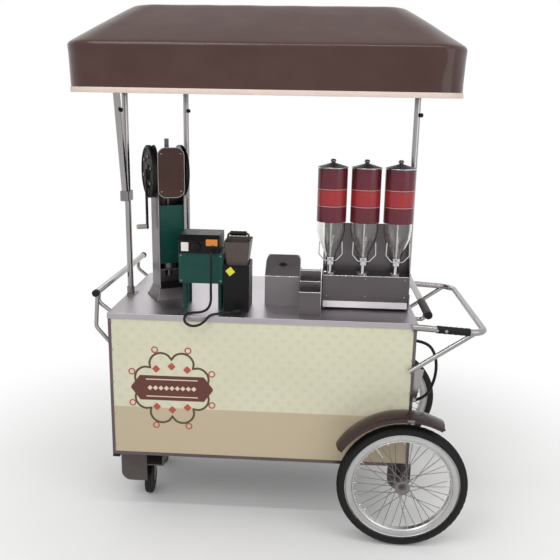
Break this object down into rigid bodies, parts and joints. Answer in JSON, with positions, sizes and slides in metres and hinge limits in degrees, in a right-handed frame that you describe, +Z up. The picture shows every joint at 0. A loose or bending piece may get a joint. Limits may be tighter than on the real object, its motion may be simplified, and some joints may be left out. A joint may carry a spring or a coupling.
{
  "type": "street food cart",
  "caption": "Pushable street food cart with a cream cabinet, steel counter, brown canopy, hand press, small fryer and filling dispenser on spoked wheels and casters.",
  "frame": {"origin": "centre of the whole cart's footprint at ground level", "axes": "+X along the counter towards the spoked wheels, +Y from the serving front to the operator side, +Z up"},
  "size_m": [1.58, 0.974, 2.04],
  "materials": {
    "frame_paint": "satin",
    "floor_sheet": "satin",
    "cream_panel": "satin",
    "edge_metal": "satin",
    "stainless_sheet": "polished",
    "stainless_tube": "polished",
    "steel_parts": "satin",
    "bright_metal": "polished",
    "rim_metal": "polished",
    "tyre_rubber": "matte",
    "caster_rubber": "matte",
    "caster_paint": "satin",
    "dark_fitting": "satin",
    "brown_paint": "glossy",
    "brown_vinyl": "glossy",
    "green_enamel": "glossy",
    "black_iron": "satin",
    "grey_grip": "matte",
    "black_plastic": "satin",
    "taupe_enamel": "satin",
    "cord_black": "matte",
    "clear_tank": "clear",
    "burgundy_wrap": "glossy"
  },
  "bodies": {
    "cart": {"axle_brackets": "frame_paint", "bar_arms": "stainless_tube", "bar_end_caps": "caster_rubber", "base_frame": "frame_paint", "cabinet_floor": "floor_sheet", "cable_glands": "black_plastic", "canopy_cover": "brown_vinyl", "canopy_frame": "frame_paint", "canopy_posts": "stainless_tube", "caster_plates": "caster_paint", "counter_top": "stainless_sheet", "dispenser_base": "stainless_sheet", "door_hinge_pins": "steel_parts", "edge_trim": "edge_metal", "fender_stays": "steel_parts", "fenders": "brown_paint", "filling_hoppers": "clear_tank", "front_panel": "cream_panel", "fryer_body": "black_plastic", "fryer_casing": "green_enamel", "fryer_lead": "cord_black", "fryer_plug": "black_plastic", "hopper_wraps": "burgundy_wrap", "post_fittings": "dark_fitting", "press_cover": "brown_paint", "press_cylinder": "stainless_sheet", "press_frame": "stainless_sheet", "press_panel": "green_enamel", "push_bars": "stainless_tube", "side_cable": "cord_black", "side_panels": "cream_panel", "sugar_box": "stainless_sheet", "tray_stack": "stainless_sheet", "valve_bodies": "bright_metal", "wheel_axle": "steel_parts"},
    "left_door": {"rear_door_left": "cream_panel", "door_handle_left": "bright_metal"},
    "right_door": {"rear_door_right": "cream_panel", "door_handle_right": "bright_metal"},
    "front_wheel": {"front_tyre": "tyre_rubber", "front_rim": "rim_metal", "front_hub": "bright_metal"},
    "rear_wheel": {"rear_tyre": "tyre_rubber", "rear_rim": "rim_metal", "rear_hub": "bright_metal"},
    "front_fork": {"caster_fork_front": "steel_parts"},
    "rear_fork": {"caster_fork_rear": "steel_parts"},
    "front_caster": {"caster_wheel_front": "caster_rubber"},
    "rear_caster": {"caster_wheel_rear": "caster_rubber"},
    "crank": {"press_crank": "black_iron", "press_grip": "grey_grip"},
    "rack": {"press_rack": "steel_parts"},
    "basket": {"fryer_basket": "taupe_enamel"},
    "knob": {"fryer_knob": "black_plastic"},
    "lid_1": {"hopper_lid_1": "stainless_sheet"},
    "lid_2": {"hopper_lid_2": "stainless_sheet"},
    "lid_3": {"hopper_lid_3": "stainless_sheet"},
    "lever_1": {"valve_lever_1": "bright_metal"},
    "lever_2": {"valve_lever_2": "bright_metal"},
    "lever_3": {"valve_lever_3": "bright_metal"}
  },
  "joints": [
    {"name": "left_door_swing", "type": "hinge", "parent": "cart", "child": "left_door", "pos_m": [-0.662, 0.356, 0.58], "axis": [0, 0, 1], "range_deg": [0, 95]},
    {"name": "right_door_swing", "type": "hinge", "parent": "cart", "child": "right_door", "pos_m": [0.152, 0.356, 0.58], "axis": [0, 0, -1], "range_deg": [0, 95]},
    {"name": "front_wheel_roll", "type": "hinge", "parent": "cart", "child": "front_wheel", "pos_m": [0.486, -0.44, 0.254], "axis": [0, 1, 0], "continuous": true},
    {"name": "rear_wheel_roll", "type": "hinge", "parent": "cart", "child": "rear_wheel", "pos_m": [0.486, 0.44, 0.254], "axis": [0, 1, 0], "continuous": true},
    {"name": "front_fork_swivel", "type": "hinge", "parent": "cart", "child": "front_fork", "pos_m": [-0.579, -0.109, 0.175], "axis": [0, 0, 1], "continuous": true},
    {"name": "rear_fork_swivel", "type": "hinge", "parent": "cart", "child": "rear_fork", "pos_m": [-0.579, 0.109, 0.175], "axis": [0, 0, 1], "continuous": true},
    {"name": "front_caster_roll", "type": "hinge", "parent": "front_fork", "child": "front_caster", "pos_m": [-0.579, -0.139, 0.0625], "axis": [1, 0, 0], "continuous": true},
    {"name": "rear_caster_roll", "type": "hinge", "parent": "rear_fork", "child": "rear_caster", "pos_m": [-0.579, 0.139, 0.0625], "axis": [1, 0, 0], "continuous": true},
    {"name": "press_crank_turn", "type": "hinge", "parent": "cart", "child": "crank", "pos_m": [-0.50921, -0.04211, 1.411], "axis": [0.891, 0.454, 0], "range_deg": [0, 280]},
    {"name": "press_rack_slide", "type": "slide", "parent": "cart", "child": "rack", "axis": [0, 0, 1], "range_m": [-0.108, 0]},
    {"name": "basket_lift", "type": "slide", "parent": "cart", "child": "basket", "axis": [0, 0, 1], "range_m": [0, 0.12]},
    {"name": "fryer_knob_turn", "type": "hinge", "parent": "cart", "child": "knob", "pos_m": [-0.34, -0.277, 1.143], "axis": [0, -1, 0], "range_deg": [-270, 0]},
    {"name": "lid_1_lift", "type": "slide", "parent": "cart", "child": "lid_1", "axis": [0, 0, 1], "range_m": [0, 0.08]},
    {"name": "lever_1_turn", "type": "hinge", "parent": "cart", "child": "lever_1", "pos_m": [0.182, -0.162, 1.076], "axis": [0, 1, 0], "range_deg": [-12, 12]},
    {"name": "lid_2_lift", "type": "slide", "parent": "cart", "child": "lid_2", "axis": [0, 0, 1], "range_m": [0, 0.08]},
    {"name": "lever_2_turn", "type": "hinge", "parent": "cart", "child": "lever_2", "pos_m": [0.3145, -0.162, 1.076], "axis": [0, 1, 0], "range_deg": [-12, 12]},
    {"name": "lid_3_lift", "type": "slide", "parent": "cart", "child": "lid_3", "axis": [0, 0, 1], "range_m": [0, 0.08]},
    {"name": "lever_3_turn", "type": "hinge", "parent": "cart", "child": "lever_3", "pos_m": [0.447, -0.162, 1.076], "axis": [0, 1, 0], "range_deg": [-12, 12]}
  ],
  "couplings": [
    {"joint": "press_rack_slide", "follows": "press_crank_turn", "m_per_rad": -0.022}
  ]
}
